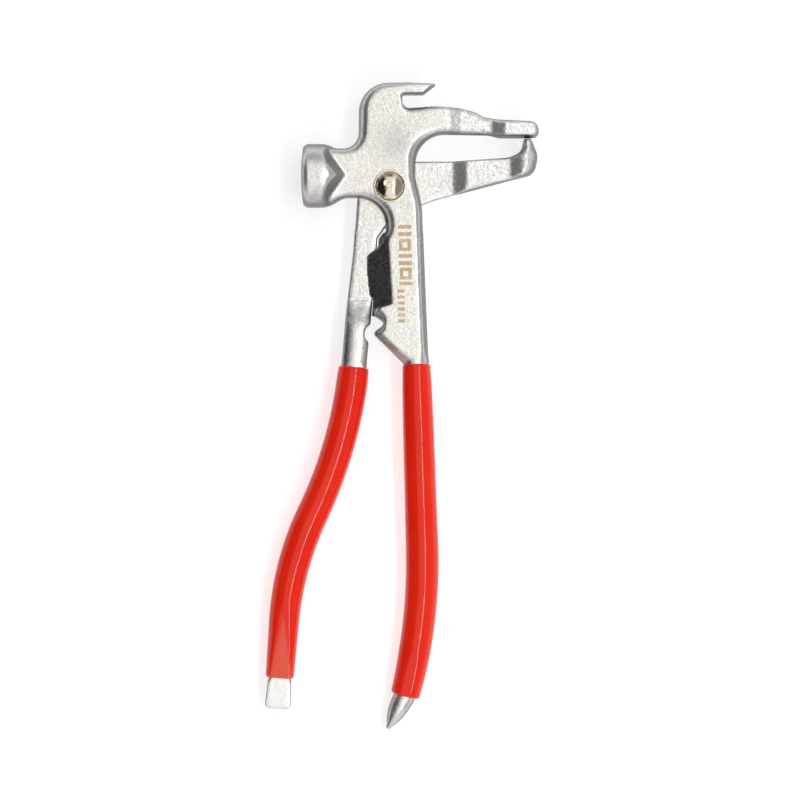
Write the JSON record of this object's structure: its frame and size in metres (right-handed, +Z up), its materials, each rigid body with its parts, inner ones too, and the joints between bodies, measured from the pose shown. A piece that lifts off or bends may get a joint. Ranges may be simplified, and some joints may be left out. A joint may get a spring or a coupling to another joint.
{
  "type": "wheel weight pliers",
  "caption": "Hammer pliers for fitting clip-on wheel weights: hammer head, pry hook, gripping jaws, clip shear, dipped grips, pointed and flat handle ends.",
  "frame": {"origin": "middle of the bounding box in X and Y, on the surface under the hammer head, with the tool lying flat and closed", "axes": "+Z up through the rivet's domed head, +Y along the tool towards the pry hook, +X towards the jaws, so the hammer face looks along -X and the handles run towards -Y"},
  "size_m": [0.1056, 0.2494, 0.0246],
  "materials": {
    "forged_steel": "blasted satin nickel on forged steel, with a dark ground bevel on the shear blade",
    "rivet_steel": "polished nickel",
    "grip_vinyl": "glossy red dipped vinyl"
  },
  "bodies": {
    "hammer_half": {"hammer_lever": "forged_steel", "pivot_rivet": "rivet_steel", "rivet_washer": "rivet_steel", "hammer_grip": "grip_vinyl"},
    "jaw_half": {"jaw_lever": "forged_steel", "jaw_grip": "grip_vinyl"}
  },
  "joints": [
    {"name": "pivot", "type": "hinge", "parent": "hammer_half", "child": "jaw_half", "pos_m": [-0.00468, 0.08429, 0.0123], "axis": [0, 0, -1], "range_deg": [0, 32]}
  ]
}
